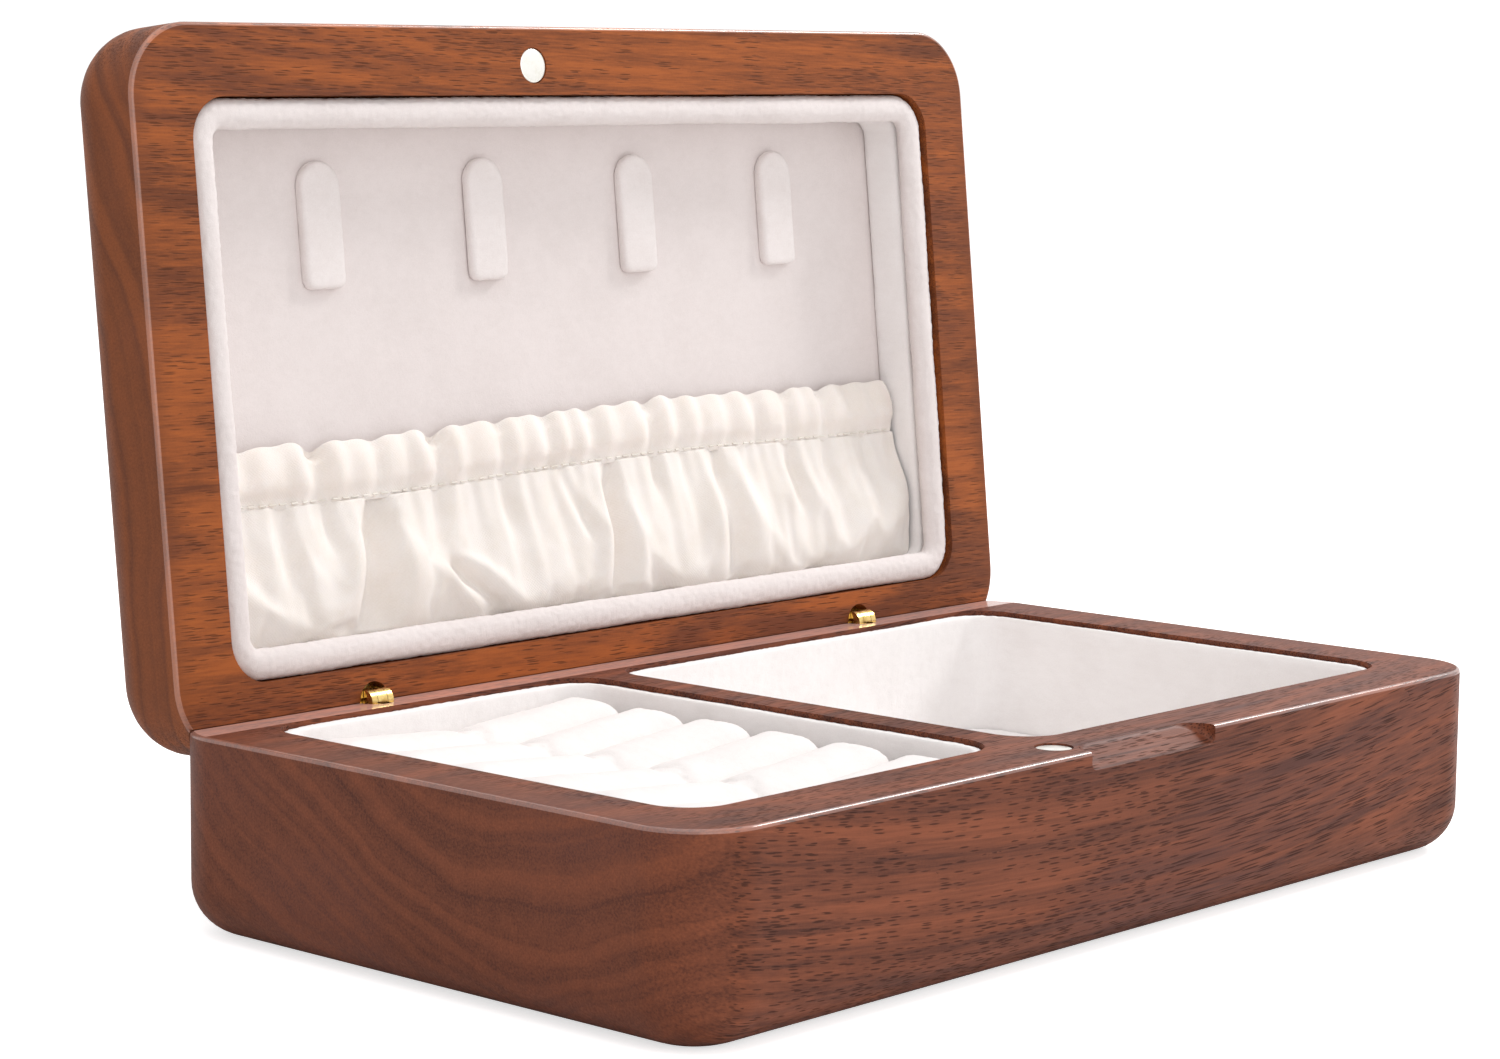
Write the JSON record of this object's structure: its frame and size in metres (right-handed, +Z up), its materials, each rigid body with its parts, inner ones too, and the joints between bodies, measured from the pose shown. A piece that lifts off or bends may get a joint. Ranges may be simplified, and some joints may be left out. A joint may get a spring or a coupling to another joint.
{
  "type": "cufflink display box",
  "caption": "Solid walnut display box with a barrel-hinged lid, ring rolls beside an open velvet well, and a padded lid with necklace tabs and a gathered pocket.",
  "frame": {"origin": "centre of the face the base rests on", "axes": "+X along the length towards the open well, +Y from the front (thumb notch) to the hinges, +Z up; the lid stands open at rest"},
  "size_m": [0.2, 0.137, 0.14],
  "materials": {
    "walnut": "satin oiled",
    "white_velvet": "short velvet pile",
    "pocket_cotton": "soft brushed cloth",
    "elastic": "woven elastic",
    "brass": "bright brass",
    "nickel_plate": "nickel plated, slightly dull"
  },
  "bodies": {
    "base": {"base_body": "walnut", "base_magnet": "nickel_plate", "ring_well_wall_lining": "white_velvet", "ring_well_floor_board": "white_velvet", "ring_roll_1": "white_velvet", "ring_roll_2": "white_velvet", "ring_roll_3": "white_velvet", "ring_roll_4": "white_velvet", "ring_roll_5": "white_velvet", "ring_roll_6": "white_velvet", "open_well_wall_lining": "white_velvet", "open_well_floor_board": "white_velvet", "base_hinge_barrel_left": "brass", "base_hinge_barrel_right": "brass", "hinge_pin_left": "brass", "hinge_pin_right": "brass"},
    "lid": {"lid_hinge_barrel_left": "brass", "lid_hinge_barrel_right": "brass", "lid_body": "walnut", "lid_magnet": "nickel_plate", "lid_back_board": "white_velvet", "lid_wall_pad": "white_velvet", "lid_padded_rim": "white_velvet", "necklace_tab_1": "white_velvet", "necklace_tab_2": "white_velvet", "necklace_tab_3": "white_velvet", "necklace_tab_4": "white_velvet", "pocket_cloth": "pocket_cotton", "pocket_header": "pocket_cotton", "pocket_elastic": "elastic"}
  },
  "joints": [
    {"name": "lid_hinge", "type": "hinge", "parent": "base", "child": "lid", "pos_m": [0, 0.0515, 0.03215], "axis": [1, 0, 0], "range_deg": [0, 96]}
  ]
}
